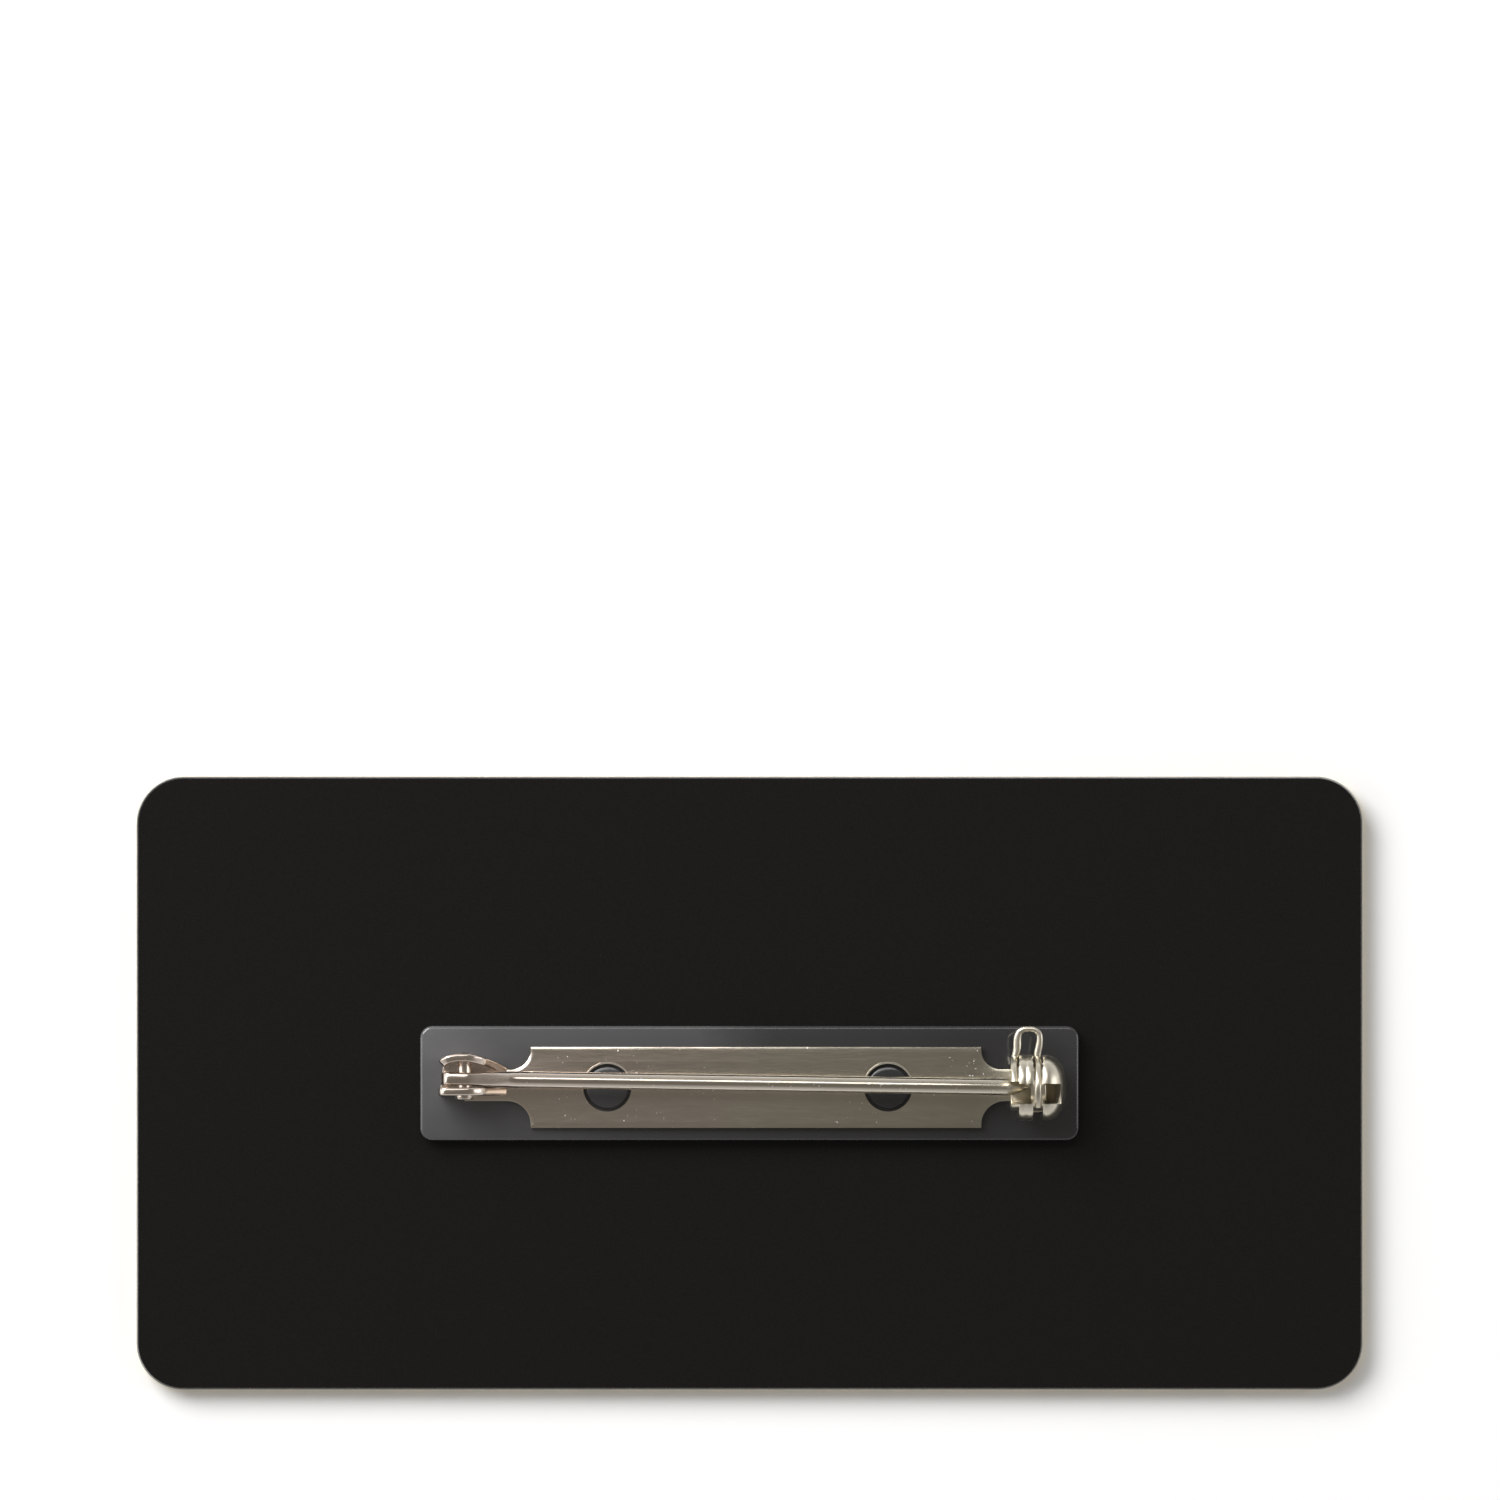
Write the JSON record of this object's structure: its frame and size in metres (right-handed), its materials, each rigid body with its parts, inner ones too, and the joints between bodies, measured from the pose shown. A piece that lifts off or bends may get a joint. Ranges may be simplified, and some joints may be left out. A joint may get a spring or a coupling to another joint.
{
  "type": "name badge with bar pin",
  "caption": "Rectangular name badge with a brushed gold metal face, black backing and a locking bar pin on a clear pad.",
  "frame": {"origin": "centre of the gold face, on which the badge lies", "axes": "+X along the badge toward the pin's catch, +Y toward the badge's top edge, +Z out of the back, where the pin is"},
  "size_m": [0.0762, 0.0382, 0.0072],
  "materials": {
    "gold_face": "brushed along the length, gold anodised",
    "black_back": "smooth satin black",
    "clear_pad": "clear moulded, slightly smoky",
    "nickel": "bright nickel plate with fine scratches"
  },
  "bodies": {
    "badge": {"face_plate": "gold_face", "back_plate": "black_back", "pad": "clear_pad", "pin_bar": "nickel", "rivet": "nickel"},
    "needle": {"needle": "nickel"},
    "lock": {"catch_lock": "nickel"}
  },
  "joints": [
    {"name": "pin_hinge", "type": "hinge", "parent": "badge", "child": "needle", "pos_m": [-0.0177, 0.00028, 0.00515], "axis": [0, -1, 0], "range_deg": [0, 100]},
    {"name": "lock_turn", "type": "hinge", "parent": "badge", "child": "lock", "pos_m": [0.0172, -0.00026, 0.00515], "axis": [1, 0, 0], "range_deg": [0, 90]}
  ]
}
